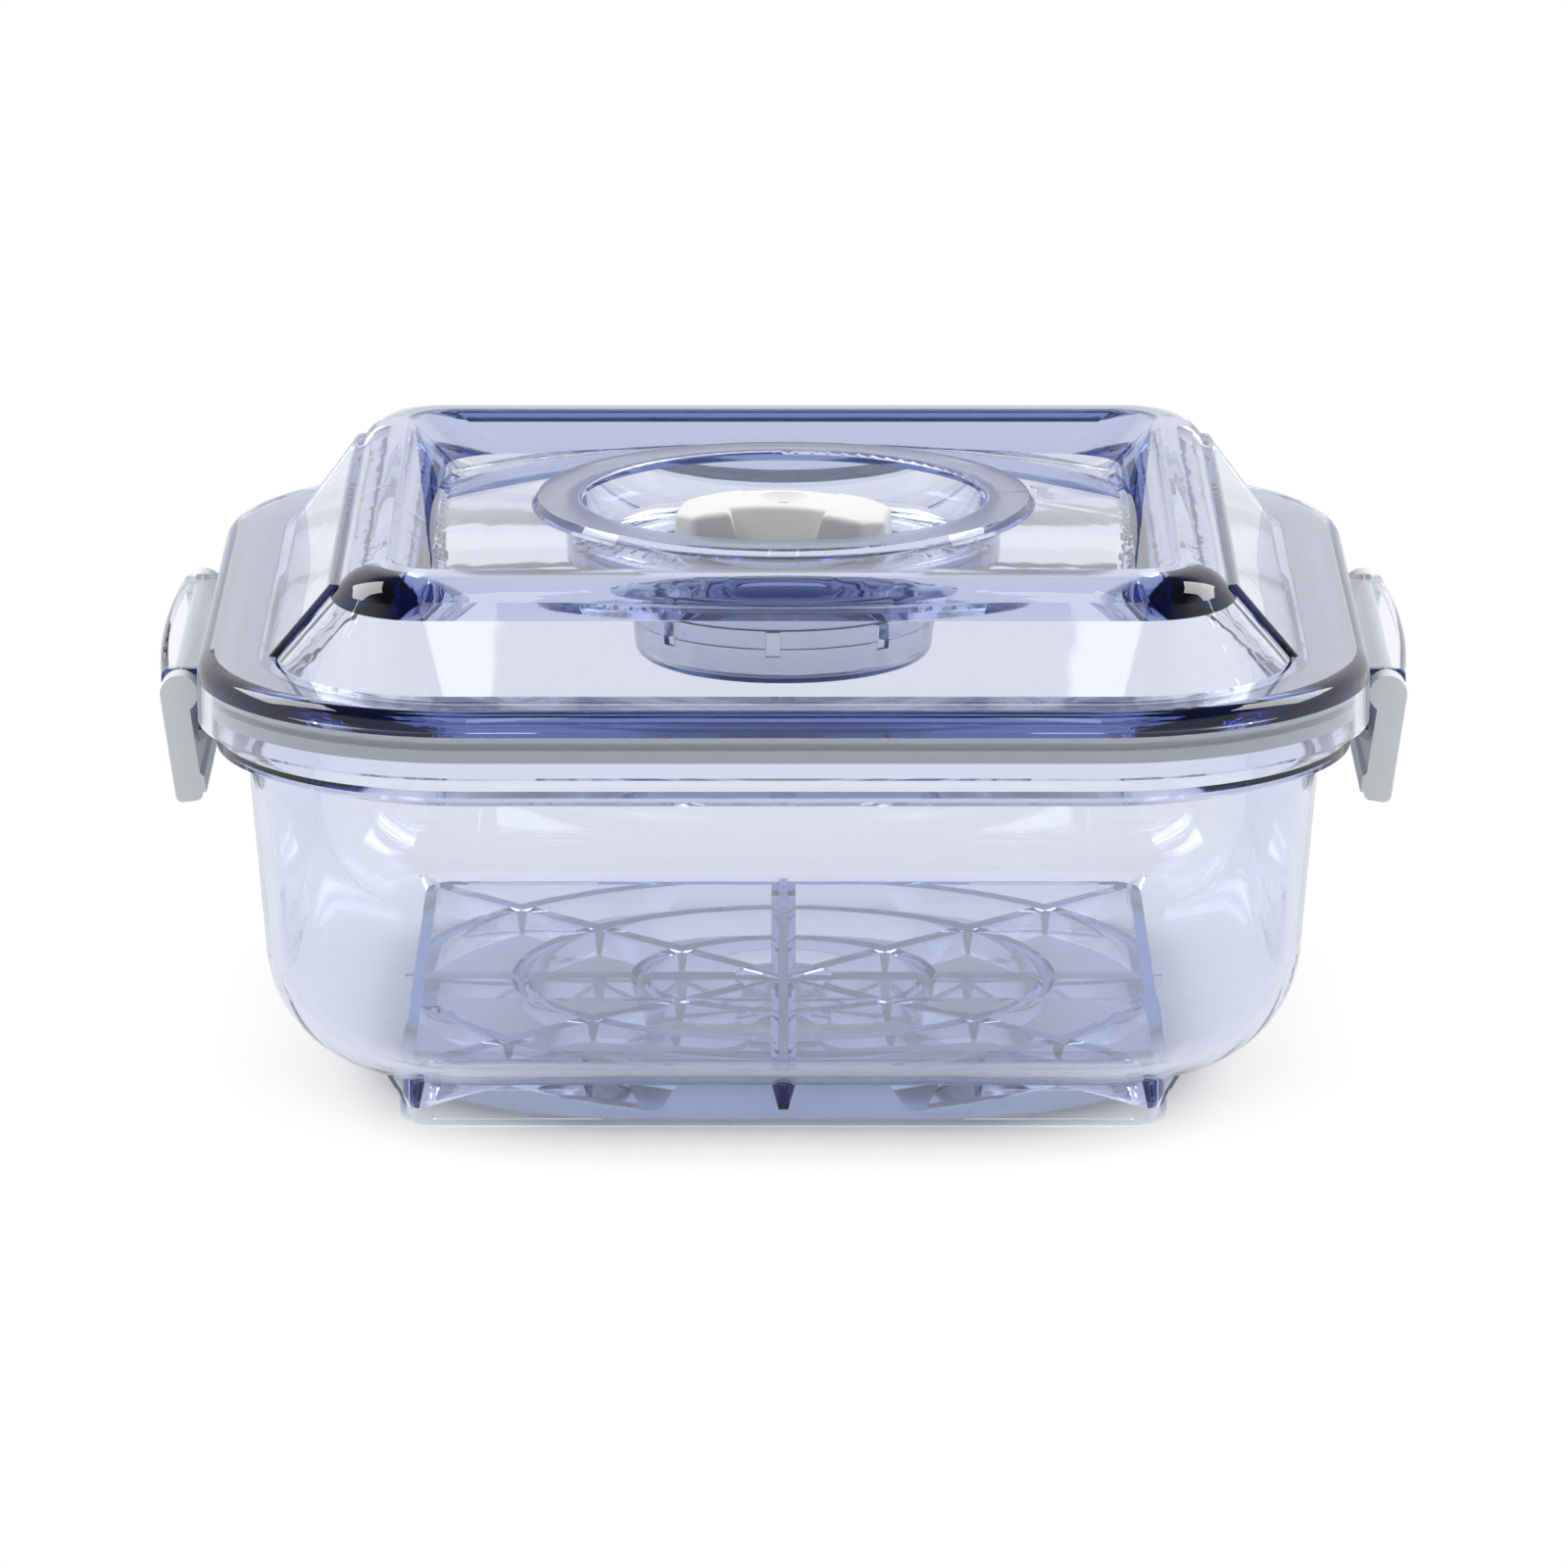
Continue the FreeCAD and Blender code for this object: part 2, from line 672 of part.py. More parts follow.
def knob_outline(low, high):
    right = ((knob_shoulder_x, -knob_half_width), (knob_half_length, -knob_end_half),
             (knob_half_length, knob_end_half), (knob_shoulder_x, knob_half_width))
    corners = [V(x, y, low) for x, y in right] + [V(-x, -y, low) for x, y in right]
    bar = Part.Face(Part.makePolygon(corners + corners[:1])).extrude(UP * (high - low))
    return bar.makeFillet(knob_corner_round, [e for e in bar.Edges if e.BoundBox.ZLength > match_tolerance])


def finger_scoop(side):
    # Leans in towards the knob's top, so that thumb and finger find the waist
    def sheet(half_x, near_y, z):
        far_y = knob_half_width + overrun
        corners = [V(x, side * y, z) for x, y in ((-half_x, near_y), (half_x, near_y),
                                                  (half_x, far_y), (-half_x, far_y))]
        return Part.makePolygon(corners + corners[:1])

    return Part.makeLoft([sheet(scoop_low_half_x, knob_half_width, knob_low_z + knob_collar_height),
                          sheet(scoop_high_half_x, knob_half_width - scoop_depth, knob_top_z)], True, True)


def valve_knob():
    crown = Part.makeSphere(knob_crown_radius, V(0, 0, knob_top_z - knob_crown_radius))
    grip = knob_outline(knob_low_z, knob_top_z + overrun).common(crown)
    grip = grip.cut([finger_scoop(-1), finger_scoop(1)])
    top_edges = [e for e in grip.Edges if e.BoundBox.ZMin > knob_low_z + knob_collar_height]
    grip = grip.makeFillet(knob_edge_round, top_edges)
    grip = turned(grip, knob_turn)
    ball_radius = (dimple_radius ** 2 + dimple_depth ** 2) / (dimple_depth * 2)
    dimple = Part.makeSphere(ball_radius, V(0, 0, knob_top_z - dimple_depth + ball_radius))
    hub = disc(hub_radius, hub_low_z, knob_low_z + knob_collar_height)
    lower_hub = disc(hub_radius, hub_low_z - overrun, carrier_top_z)
    hub = hub.cut(lower_hub.cut(flat_hub(hub_flat_half, hub_low_z - overrun, carrier_top_z + overrun)))
    groove = tube(hub_radius + overrun, hub_radius - ring_groove_depth * 2, ring_low_z, carrier_low_z)
    solid = grip.fuse([disc(knob_collar_radius, knob_low_z, knob_low_z + knob_collar_height), hub])
    port_low_z = knob_top_z - dimple_depth - port_length
    bore = disc(hub_bore_radius, hub_low_z - overrun, port_low_z)
    port = disc(port_radius, port_low_z - overrun, knob_top_z + overrun)
    return solid.cut([dimple, groove, bore, port]).removeSplitter()


def knob_o_ring():
    return Part.makeTorus(hub_radius + o_ring_wire, o_ring_wire, V(0, 0, well_floor_z - o_ring_wire))


def valve_disc():
    sheet = tube(valve_disc_radius, hub_radius, carrier_top_z, valve_disc_top_z)
    return sheet.cut(vent_holes(vent_turn - quarter_turn, vent_radius, carrier_top_z, valve_disc_top_z))


def disc_carrier():
    plate = disc(valve_disc_radius, carrier_low_z, carrier_top_z)
    plate = plate.cut(tube(valve_disc_radius - carrier_rim_wall, retaining_ring_radius + carrier_web,
                           carrier_low_z - overrun, carrier_top_z - carrier_web))
    key = disc(hub_radius + hub_flat_play, carrier_low_z - overrun, carrier_top_z + overrun)
    key = key.common(flat_hub(hub_flat_half + hub_flat_play, carrier_low_z - overrun, carrier_top_z + overrun)
                     .fuse(disc(hub_flat_half, carrier_low_z - overrun, carrier_top_z + overrun)))
    return plate.cut([key] + vent_holes(vent_turn - quarter_turn, vent_radius, carrier_low_z, carrier_top_z))


def retaining_ring():
    ring = tube(retaining_ring_radius, hub_radius - ring_groove_depth * 2, ring_low_z, carrier_low_z)
    half = retaining_ring_slot / 2
    return ring.cut(block(0, retaining_ring_radius + overrun, -half, half,
                          ring_low_z - overrun, carrier_low_z + overrun))


def check_valve_seat():
    return tube(hub_bore_radius, seat_hole_radius, seat_low_z, seat_low_z + seat_height)


def check_valve():
    low = seat_low_z + seat_height
    head = revolved(((0, low), (poppet_radius, low), (poppet_radius, low + poppet_height / 2),
                     (poppet_stem_radius, low + poppet_height), (0, low + poppet_height)))
    return head.fuse(disc(poppet_stem_radius, low - poppet_stem_length, low)).removeSplitter()


# Splash cup

def splash_cup():
    foot_inner = cup_foot_radius - cup_wall
    top_inner = cup_top_radius - cup_wall
    outer = revolved(((0, cup_low_z), (cup_foot_radius, cup_low_z), (cup_top_radius, cup_ring_low_z),
                      (cup_top_radius, cup_top_z), (0, cup_top_z)))
    outer = outer.makeFillet(cup_foot_round, flat_edges(outer, cup_low_z))
    room = revolved(((0, cup_low_z + cup_floor), (foot_inner, cup_low_z + cup_floor),
                     (top_inner, cup_ring_low_z), (0, cup_ring_low_z)))
    room = room.makeFillet(cup_foot_round - cup_wall, flat_edges(room, cup_low_z + cup_floor))
    ring_bore = disc(top_inner - cup_ring_wall, cup_ring_low_z - overrun, boss_low_z + overrun)
    socket = disc(boss_radius, boss_low_z, cup_top_z + overrun)
    cup = outer.cut([room, ring_bore, socket])
    for index in range(cup_slot_count):
        slot = block(0, cup_top_radius + overrun, -cup_slot_width / 2, cup_slot_width / 2,
                     cup_slot_low_z, boss_low_z)
        slot = slot.cut(disc(boss_radius - boss_wall - cup_ring_wall,
                             cup_slot_low_z - overrun, boss_low_z + overrun))
        cup = cup.cut(turned(slot, cup_slot_turn - quarter_turn + index * 360 / cup_slot_count))
    return cup.removeSplitter()


pieces = {
    "container": container(),
    "lid_shell": lid_shell(),
    "lid_gasket": lid_gasket(),
    "right_clip": clip(),
    "left_clip": mirrored(clip()),
    "valve_knob": valve_knob(),
    "knob_o_ring": knob_o_ring(),
    "valve_disc": valve_disc(),
    "disc_carrier": disc_carrier(),
    "retaining_ring": retaining_ring(),
    "check_valve_seat": check_valve_seat(),
    "check_valve": check_valve(),
    "splash_cup": splash_cup(),
}

os.makedirs("parts", exist_ok=True)
for name, shape in pieces.items():
    print(name, "valid", shape.isValid(), "solids", len(shape.Solids), "volume", round(shape.Volume, 1))
    shape.exportStep("parts/" + name + ".step")
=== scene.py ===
import bpy
import math
from mathutils import Matrix, Vector


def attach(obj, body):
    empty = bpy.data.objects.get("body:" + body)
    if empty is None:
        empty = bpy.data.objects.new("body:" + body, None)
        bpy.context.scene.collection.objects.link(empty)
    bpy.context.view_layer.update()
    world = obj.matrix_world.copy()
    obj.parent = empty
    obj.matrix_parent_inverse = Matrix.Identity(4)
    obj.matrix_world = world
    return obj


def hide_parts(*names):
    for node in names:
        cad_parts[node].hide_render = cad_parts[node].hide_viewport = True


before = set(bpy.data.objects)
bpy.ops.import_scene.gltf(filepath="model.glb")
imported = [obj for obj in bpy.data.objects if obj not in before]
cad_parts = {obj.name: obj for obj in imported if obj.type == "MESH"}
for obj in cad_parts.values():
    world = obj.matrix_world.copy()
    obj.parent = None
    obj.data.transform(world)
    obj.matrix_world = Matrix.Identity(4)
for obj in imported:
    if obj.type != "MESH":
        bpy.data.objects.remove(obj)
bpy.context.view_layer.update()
scene = bpy.context.scene
black = (0.0, 0.0, 0.0)
white = (1.0, 1.0, 1.0)
upwards = Vector((0.0, 0.0, 1.0))
print("frame loaded", sorted(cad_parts))


def opaque(colour):
    return (*colour, 1.0)


# Shader maths: a wrapped socket, so that nodes read as expressions
class Wire:
    halfway = 0.5

    def __init__(self, tree, socket):
        self.tree = tree
        self.socket = socket

    def add(self, kind, settings, inputs, output=0):
        node = self.tree.nodes.new(kind)
        for key, value in settings.items():
            if key == "stops":
                ramp = node.color_ramp
                while len(ramp.elements) < len(value):
                    ramp.elements.new(self.halfway)
                for stop, (place, colour) in zip(ramp.elements, value):
                    stop.position = place
                    stop.color = opaque(colour)
            else:
                setattr(node, key, value)
        for key, value in inputs.items():
            if isinstance(value, Wire):
                value.feed(node.inputs[key])
            else:
                node.inputs[key].default_value = value
        return Wire(self.tree, node.outputs[output])

    def feed(self, socket):
        self.tree.links.new(self.socket, socket)

    def beside(self, output):  # another output of the same node
        return Wire(self.tree, self.socket.node.outputs[output])

    def maths(self, kind, first, second):
        return self.add("ShaderNodeMath", {"operation": kind}, {0: first, 1: second})

    def vector(self, kind, first, second=black, output="Vector"):
        return self.add("ShaderNodeVectorMath", {"operation": kind}, {0: first, 1: second}, output)

    def __add__(self, other):
        return self.maths("ADD", self, other)

    def __radd__(self, other):
        return self.maths("ADD", other, self)

    def __mul__(self, other):
        return self.maths("MULTIPLY", self, other)

    def __rmul__(self, other):
        return self.maths("MULTIPLY", other, self)

    def __truediv__(self, other):
        return self.maths("DIVIDE", self, other)

    def __rtruediv__(self, other):
        return self.maths("DIVIDE", other, self)


def startMaterial(name):
    material = bpy.data.materials.new(name)
    material.use_nodes = True
    tree = material.node_tree
    tree.nodes.clear()
    output = tree.nodes.new("ShaderNodeOutputMaterial")
    wire = Wire(tree, None)
    place = wire.add("ShaderNodeTexCoord", {}, {}, "Object")
    return material, wire, place, output


noiseKinds = {"smooth": {"Detail": 2.0, "Roughness": 0.5}, "fine": {"Detail": 4.0, "Roughness": 0.6}}


def noiseOn(wire, place, scale, kind):
    return wire.add("ShaderNodeTexNoise", {}, {"Vector": place, "Scale": scale, **noiseKinds[kind]}, "Fac")


mixSockets = {"first": 6, "second": 7, "result": 2}  # the colour sockets of a Mix node


def mixColour(wire, factor, first, second):
    first, second = [colour if isinstance(colour, Wire) else opaque(colour) for colour in (first, second)]
    return wire.add("ShaderNodeMix", {"data_type": "RGBA"}, {
        "Factor": factor, mixSockets["first"]: first, mixSockets["second"]: second}, mixSockets["result"])


def bumpFrom(wire, look, height):
    return wire.add("ShaderNodeBump", {}, {
        "Strength": look["bumpStrength"], "Distance": look["bumpDistance"], "Height": height}, "Normal")


# 1 on a flat ring about the upright axis, above a height, and 0 elsewhere
def ringMask(wire, place, ring):
    level = wire.vector("MULTIPLY", place, ring["levelShare"])
    radius = wire.vector("LENGTH", level, output="Value")
    height = wire.add("ShaderNodeSeparateXYZ", {}, {"Vector": place}, "Z")
    outside = wire.maths("GREATER_THAN", radius, ring["inner"])
    inside = wire.maths("LESS_THAN", radius, ring["outer"])
    return outside * inside * wire.maths("GREATER_THAN", height, ring["low"])


# Clear plastics: tinted by the depth of plastic that the light passes, so thick edges turn navy
def clearPlastic(name, look, frostRing=None):
    material, wire, place, output = startMaterial(name)
    flow = noiseOn(wire, place, look["flowScale"], "smooth")
    haze = noiseOn(wire, place, look["hazeScale"], "fine")
    colour = mixColour(wire, haze, look["colour"], look["hazeColour"])
    roughness = look["roughness"] + look["roughnessSpread"] * haze
    if frostRing:
        ring = ringMask(wire, place, frostRing)
        roughness = roughness + frostRing["roughness"] * ring
        colour = mixColour(wire, ring, colour, frostRing["colour"])
    surface = wire.add("ShaderNodeBsdfPrincipled", {}, {
        "Base Color": colour, "Roughness": roughness, "IOR": look["ior"], "Transmission Weight": 1.0,
        "Normal": bumpFrom(wire, look, flow)})
    depth = wire.add("ShaderNodeVolumeAbsorption", {}, {
        "Color": opaque(look["depthColour"]), "Density": look["depthDensity"]})
    surface.feed(output.inputs["Surface"])
    depth.feed(output.inputs["Volume"])
    return material


# Moulded and soft opaque plastics, which let a little light in under their skin
solidLook = {"ior": 1.48, "softReach": (0.004, 0.004, 0.004), "softScale": 0.5}


def solidPlastic(name, look):
    material, wire, place, output = startMaterial(name)
    grain = noiseOn(wire, place, look["grainScale"], "fine")
    cloud = noiseOn(wire, place, look["cloudScale"], "smooth")
    surface = wire.add("ShaderNodeBsdfPrincipled", {}, {
        "Base Color": mixColour(wire, cloud, look["colour"], look["cloudColour"]),
        "Roughness": look["roughness"] + look["roughnessSpread"] * grain,
        "IOR": solidLook["ior"], "Normal": bumpFrom(wire, look, grain),
        "Subsurface Weight": look["soft"], "Subsurface Radius": solidLook["softReach"],
        "Subsurface Scale": solidLook["softScale"]})
    surface.feed(output.inputs["Surface"])
    return material


clearLook = {
    "colour": (0.985, 0.988, 1.0), "hazeColour": (0.965, 0.972, 0.995), "hazeScale": 260.0,
    "roughness": 0.0, "roughnessSpread": 0.03, "ior": 1.53,
    "flowScale": 45.0, "bumpStrength": 0.03, "bumpDistance": 0.0006,
    "depthColour": (0.06, 0.19, 0.62), "depthDensity": 36.0}
dialFrost = {
    "inner": 0.0396, "outer": 0.0470, "low": 0.1056, "levelShare": (1.0, 1.0, 0.0), "roughness": 0.35,
    "colour": (0.78, 0.79, 0.86)}
lidClear = clearPlastic("lidClear", clearLook, dialFrost)
containerClear = clearPlastic("containerClear", {**clearLook, "depthDensity": 52.0})
frostedClear = clearPlastic("frostedClear", {
    "colour": (0.97, 0.975, 1.0), "hazeColour": (0.93, 0.94, 0.985), "hazeScale": 500.0,
    "roughness": 0.10, "roughnessSpread": 0.10, "ior": 1.49,
    "flowScale": 60.0, "bumpStrength": 0.05, "bumpDistance": 0.0004,
    "depthColour": (0.07, 0.20, 0.61), "depthDensity": 36.0})
greySilicone = solidPlastic("greySilicone", {
    "colour": (0.80, 0.81, 0.82), "cloudColour": (0.84, 0.85, 0.86), "cloudScale": 70.0, "soft": 0.15,
    "roughness": 0.42, "roughnessSpread": 0.2,
    "grainScale": 1800.0, "bumpStrength": 0.12, "bumpDistance": 0.0001})
whiteClip = solidPlastic("whiteClip", {
    "colour": (0.80, 0.82, 0.835), "cloudColour": (0.83, 0.85, 0.865), "cloudScale": 50.0, "soft": 0.08,
    "roughness": 0.30, "roughnessSpread": 0.15,
    "grainScale": 2600.0, "bumpStrength": 0.10, "bumpDistance": 0.00006})
whiteKnob = solidPlastic("whiteKnob", {
    "colour": (0.76, 0.755, 0.735), "cloudColour": (0.80, 0.795, 0.775), "cloudScale": 60.0, "soft": 0.08,
    "roughness": 0.32, "roughnessSpread": 0.15,
    "grainScale": 2600.0, "bumpStrength": 0.10, "bumpDistance": 0.00006})
valvePlastic = solidPlastic("valvePlastic", {
    "colour": (0.28, 0.32, 0.47), "cloudColour": (0.32, 0.36, 0.50), "cloudScale": 60.0, "soft": 0.1,
    "roughness": 0.40, "roughnessSpread": 0.2,
    "grainScale": 2200.0, "bumpStrength": 0.10, "bumpDistance": 0.00006})
print("materials made")


# The solids keep their own shape and take their finish here
finishes = {
    "container": containerClear, "lid_shell": lidClear, "splash_cup": frostedClear,
    "lid_gasket": greySilicone, "left_clip": whiteClip, "right_clip": whiteClip,
    "valve_knob": whiteKnob, "knob_o_ring": greySilicone, "valve_disc": greySilicone,
    "disc_carrier": valvePlastic, "retaining_ring": valvePlastic,
    "check_valve_seat": valvePlastic, "check_valve": greySilicone}
for nodeName, finish in finishes.items():
    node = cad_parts[nodeName]
    node.data.materials.clear()
    node.data.materials.append(finish)
print("solids finished", len(finishes))


def deselectAll():
    if bpy.context.mode != "OBJECT":
        bpy.ops.object.mode_set(mode="OBJECT")
    bpy.ops.object.select_all(action="DESELECT")


def makeActive(piece):
    deselectAll()
    piece.select_set(True)
    bpy.context.view_layer.objects.active = piece


# Silicone gasket, a hair smaller than its seat so that a film of air is left and the flange mirrors inside
gasketLook = {"airFilm": 0.00014, "mergeReach": 0.000002, "smoothAngle": 30.0}
siliconeGasket = bpy.data.objects.new("siliconeGasket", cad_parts["lid_gasket"].data.copy())
scene.collection.objects.link(siliconeGasket)
makeActive(siliconeGasket)
bpy.ops.mesh.customdata_custom_splitnormals_clear()
bpy.ops.object.mode_set(mode="EDIT")
bpy.ops.mesh.select_all(action="SELECT")
bpy.ops.mesh.remove_doubles(threshold=gasketLook["mergeReach"])
bpy.ops.object.mode_set(mode="OBJECT")
shrink = siliconeGasket.modifiers.new("airFilm", "DISPLACE")
shrink.strength = -gasketLook["airFilm"]
shrink.mid_level = 0.0
bpy.ops.object.modifier_apply(modifier="airFilm")
bpy.ops.object.shade_smooth_by_angle(angle=math.radians(gasketLook["smoothAngle"]))
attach(siliconeGasket, "lid")
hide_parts("lid_gasket")
print("gasket fitted", len(siliconeGasket.data.vertices))


# Raised marks by the dial: dots on its ring, an arrow with ticks on the left,
# and a large dot with ticks on the right
marksLook = {
    "proud": 0.00030, "sunk": 0.00015, "castHeight": 0.2,
    "bevel": 0.00007, "bevelSegments": 2, "smoothAngle": 35.0,
    "dotSides": 20, "dotRadius": 0.00042, "dotCount": 5, "dotTurn": 3.0,
    "dotStart": 0.0412, "dotStep": 0.00125,
    "tickWidth": 0.0006, "tickLengths": (0.0034, 0.0018), "tickRadius": 0.0512,
    "tickRows": (  # first turn, step and count of each row
        (226.0, 3.5, 7), (298.0, 3.5, 2), (313.5, 3.5, 2), (6.0, 3.0, 4)),
    "arrowSides": 3, "arrowRadius": 0.0016, "arrowTurn": 222.0,
    "largeDotRadius": 0.0014, "largeDotTurn": 307.5}
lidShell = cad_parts["lid_shell"]
markHeight = marksLook["proud"] + marksLook["sunk"]
markLift = marksLook["proud"] - markHeight / 2
markPieces = []


# Sets the mark that was just added on the lid, its X pointing away from the dial's middle
def setMark(radius, turn):
    mark = bpy.context.active_object
    outward = Vector((math.cos(math.radians(turn)), math.sin(math.radians(turn)), 0.0))
    spot, facing = lidShell.ray_cast(outward * radius + upwards * marksLook["castHeight"], -upwards)[1:3]
    along = (outward - facing * outward.dot(facing)).normalized()
    mark.rotation_euler = Matrix((along, facing.cross(along), facing)).transposed().to_euler()
    mark.location = spot + facing * markLift
    bpy.ops.object.transform_apply(location=True, rotation=True, scale=True)
    markPieces.append(mark)


def roundMark(sides, size, radius, turn):
    deselectAll()
    bpy.ops.mesh.primitive_cylinder_add(vertices=sides, radius=size, depth=markHeight)
    setMark(radius, turn)


def tickMark(length, radius, turn):
    deselectAll()
    bpy.ops.mesh.primitive_cube_add(size=1.0)
    bpy.context.active_object.scale = (length, marksLook["tickWidth"], markHeight)
    setMark(radius, turn)


for number in range(marksLook["dotCount"]):
    dotPlace = marksLook["dotStart"] + number * marksLook["dotStep"]
    roundMark(marksLook["dotSides"], marksLook["dotRadius"], dotPlace, marksLook["dotTurn"])
tickTurns = [start + number * step
             for start, step, count in marksLook["tickRows"] for number in range(count)]
for number, turn in enumerate(tickTurns):
    tickLength = marksLook["tickLengths"][number % len(marksLook["tickLengths"])]
    tickMark(tickLength, marksLook["tickRadius"], turn)
roundMark(marksLook["arrowSides"], marksLook["arrowRadius"],
          marksLook["tickRadius"], marksLook["arrowTurn"])
roundMark(marksLook["dotSides"], marksLook["largeDotRadius"],
          marksLook["tickRadius"], marksLook["largeDotTurn"])
deselectAll()
for mark in markPieces:
    mark.select_set(True)
bpy.context.view_layer.objects.active = markPieces[0]
bpy.ops.object.join()
dialMarks = bpy.context.active_object
dialMarks.name = "dialMarks"
edges = dialMarks.modifiers.new("softEdges", "BEVEL")
edges.width = marksLook["bevel"]
edges.segments = marksLook["bevelSegments"]
bpy.ops.object.modifier_apply(modifier="softEdges")
bpy.ops.object.shade_smooth_by_angle(angle=math.radians(marksLook["smoothAngle"]))
dialMarks.data.materials.append(frostedClear)
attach(dialMarks, "lid")
print("dial marked", len(dialMarks.data.vertices))


# Camera at the photograph's view
cameraLook = {
    "distance": 2.0, "raise": 14.27, "aim": (0.0001, 0.0, 0.0485),
    "lens": 237.4, "sensor": 36.0, "farClip": 50.0}
cameraData = bpy.data.cameras.new("studioCamera")
cameraData.lens = cameraLook["lens"]
cameraData.sensor_width = cameraLook["sensor"]
cameraData.clip_end = cameraLook["farClip"]
camera = bpy.data.objects.new("studioCamera", cameraData)
scene.collection.objects.link(camera)
raiseAngle = math.radians(cameraLook["raise"])
towardsCamera = Vector((0.0, -math.cos(raiseAngle), math.sin(raiseAngle)))
camera.location = Vector(cameraLook["aim"]) + cameraLook["distance"] * towardsCamera
camera.rotation_euler = (math.pi / 2 - raiseAngle, 0.0, 0.0)
scene.camera = camera
print("camera placed")


# Pale floor with a painted shadow: white glow far off whose share is painted lower near the canister so
# that the shaded paper shows there, with places on it as shares of the shadow's reach past its core
footInside = 0.503
footOutside = 0.538
floorLook = {
    "size": 12.0, "colour": (0.90, 0.90, 0.905), "cloudColour": (0.92, 0.92, 0.925), "cloudScale": 3.0,
    "roughness": 0.9, "roughnessSpread": 0.05, "core": (0.030, 0.030, 0.0), "middle": (0.0, 0.010, 0.0),
    "reach": 0.0845, "paintedGlowTint": (0.50, 0.61, 0.95),
    "paintedShadowWhiteness": ((0.0, 0.06), (0.166, 0.10), (0.355, 0.40), (footInside, 0.40), (footOutside, 0.10),
                  (0.586, 0.26), (0.651, 0.48), (0.746, 0.70), (0.852, 0.88), (0.96, 1.0))}
deselectAll()
bpy.ops.mesh.primitive_plane_add(size=floorLook["size"], location=(0.0, 0.0, 0.0))
floor = bpy.context.active_object
floor.name = "paleFloor"
floorMaterial, wire, place, output = startMaterial("palePaper")
floorCloud = noiseOn(wire, place, floorLook["cloudScale"], "smooth")
paper = wire.add("ShaderNodeBsdfPrincipled", {}, {
    "Base Color": mixColour(wire, floorCloud, floorLook["colour"], floorLook["cloudColour"]),
    "Roughness": floorLook["roughness"] + floorLook["roughnessSpread"] * floorCloud,
    "Specular IOR Level": 0.0})
# How far a point lies from the core under the foot, whose middle sits a little back so that the painted
# shadow falls a little to the back
across = wire.vector("ABSOLUTE", wire.vector("SUBTRACT", place, floorLook["middle"]))
past = wire.vector("MAXIMUM", wire.vector("SUBTRACT", across, floorLook["core"]), black)
share = wire.vector("LENGTH", past, output="Value") / floorLook["reach"]
# White paper far off, a painted shadow near the canister, and a painted blue glow inside the tinted foot
# ring, standing in for light that has passed through the blue plastic
beyondFoot = wire.add("ShaderNodeMapRange", {}, {
    "Value": share, "From Min": footInside, "From Max": footOutside})
paperWhiteAndPaintedGlow = wire.add("ShaderNodeEmission", {}, {
    "Color": mixColour(wire, beyondFoot, floorLook["paintedGlowTint"], white), "Strength": 1.0})
# Painted shadow: the share of white glow is lowest under the middle of the canister and in a band just
# outside its foot, and rises to full white far off
greyStops = [(at, (level, level, level)) for at, level in floorLook["paintedShadowWhiteness"]]
paintedShadowWhiteness = wire.add("ShaderNodeValToRGB", {"stops": greyStops}, {"Fac": share}, "Color")
cameraRay = wire.add("ShaderNodeLightPath", {}, {}, "Is Camera Ray")
backdropRay = cameraRay + cameraRay.beside("Is Glossy Ray") + cameraRay.beside("Is Transmission Ray")
floorMix = wire.add("ShaderNodeMixShader", {}, {
    0: paintedShadowWhiteness * wire.maths("MINIMUM", backdropRay, 1.0), 1: paper, 2: paperWhiteAndPaintedGlow})
floorMix.feed(output.inputs["Surface"])
floor.data.materials.append(floorMaterial)
print("floor laid")


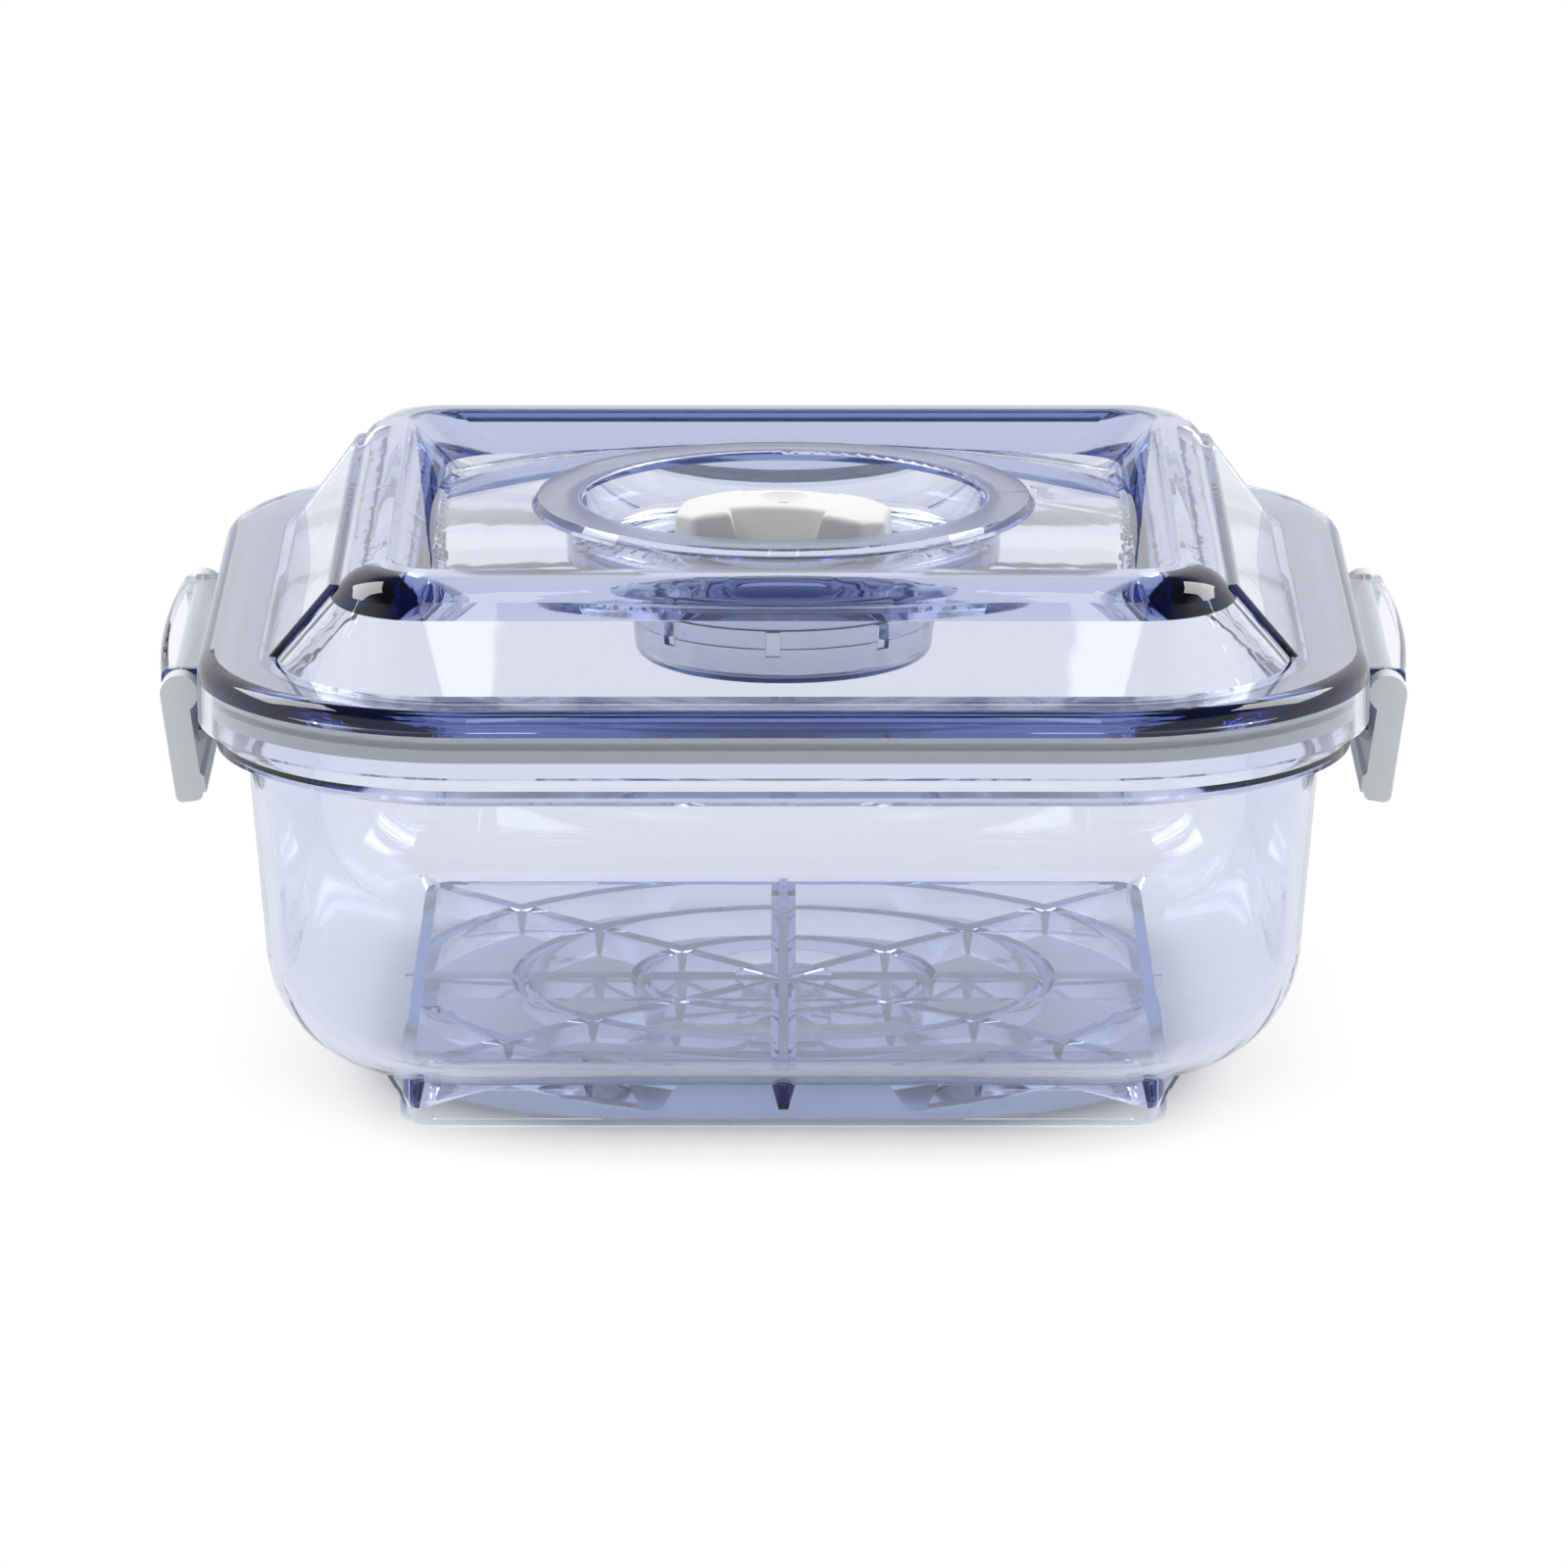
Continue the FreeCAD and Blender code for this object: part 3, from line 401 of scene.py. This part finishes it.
# Soft studio: a white room with a dark ceiling, which draws the dark edges,
# and a dimmer side behind the camera
roomLook = {
    "stops": ((0.0, white), (0.80, white), (0.87, (0.12, 0.13, 0.16)), (1.0, (0.10, 0.11, 0.14))),
    "frontLevel": 0.7, "frontEdge": -0.7, "backEdge": 0.1}
world = bpy.data.worlds.new("studioRoom")
scene.world = world
world.use_nodes = True
world.node_tree.nodes.clear()
wire = Wire(world.node_tree, None)
direction = wire.add("ShaderNodeTexCoord", {}, {}, "Generated")
height = wire.add("ShaderNodeSeparateXYZ", {}, {"Vector": direction}, "Z")
rise = height * Wire.halfway + Wire.halfway
walls = wire.add("ShaderNodeValToRGB", {"stops": roomLook["stops"]}, {"Fac": rise}, "Color")
backness = wire.add("ShaderNodeMapRange", {"interpolation_type": "SMOOTHSTEP"}, {
    "Value": height.beside("Y"), "From Min": roomLook["frontEdge"], "From Max": roomLook["backEdge"],
    "To Min": roomLook["frontLevel"]})
cameraRay = wire.add("ShaderNodeLightPath", {}, {}, "Is Camera Ray")
room = mixColour(wire, cameraRay, mixColour(wire, backness, black, walls), white)
roomLight = wire.add("ShaderNodeBackground", {}, {"Color": room, "Strength": 1.0})
roomLight.feed(world.node_tree.nodes.new("ShaderNodeOutputWorld").inputs["Surface"])


def softbox(name, place, aim, width, length, power):
    data = bpy.data.lights.new(name, "AREA")
    data.shape = "RECTANGLE"
    data.size = width
    data.size_y = length
    data.energy = power
    lamp = bpy.data.objects.new(name, data)
    lamp.location = place
    lamp.rotation_euler = (Vector(aim) - Vector(place)).to_track_quat("-Z", "Y").to_euler()
    scene.collection.objects.link(lamp)


def onSide(sign, place):
    return (sign * place[0], *place[1:])


# Two large boxes at the sides light the plastics, and two narrow strips in front mirror in the front slope
boxLook = {"place": (0.90, 0.35, 0.95), "aim": (0.0, 0.0, 0.07), "size": 0.7, "power": 10.5}
stripLook = {
    "place": (0.0865, -0.56, 0.95), "aim": (0.062, -0.085, 0.10),
    "width": 0.022, "length": 0.9, "power": 0.16}
for side, sign in (("left", -1.0), ("right", 1.0)):
    softbox(side + "Softbox", onSide(sign, boxLook["place"]), onSide(sign, boxLook["aim"]),
            boxLook["size"], boxLook["size"], boxLook["power"])
    softbox(side + "Strip", onSide(sign, stripLook["place"]), onSide(sign, stripLook["aim"]),
            stripLook["width"], stripLook["length"], stripLook["power"])
print("studio set")

# Light is mirrored many times inside the thick clear edges
bounceLook = {"clear": 28, "seeThrough": 16}
scene.view_settings.view_transform = "Standard"
scene.cycles.max_bounces = bounceLook["clear"]
scene.cycles.transmission_bounces = bounceLook["clear"]
scene.cycles.glossy_bounces = bounceLook["clear"]
scene.cycles.transparent_max_bounces = bounceLook["seeThrough"]
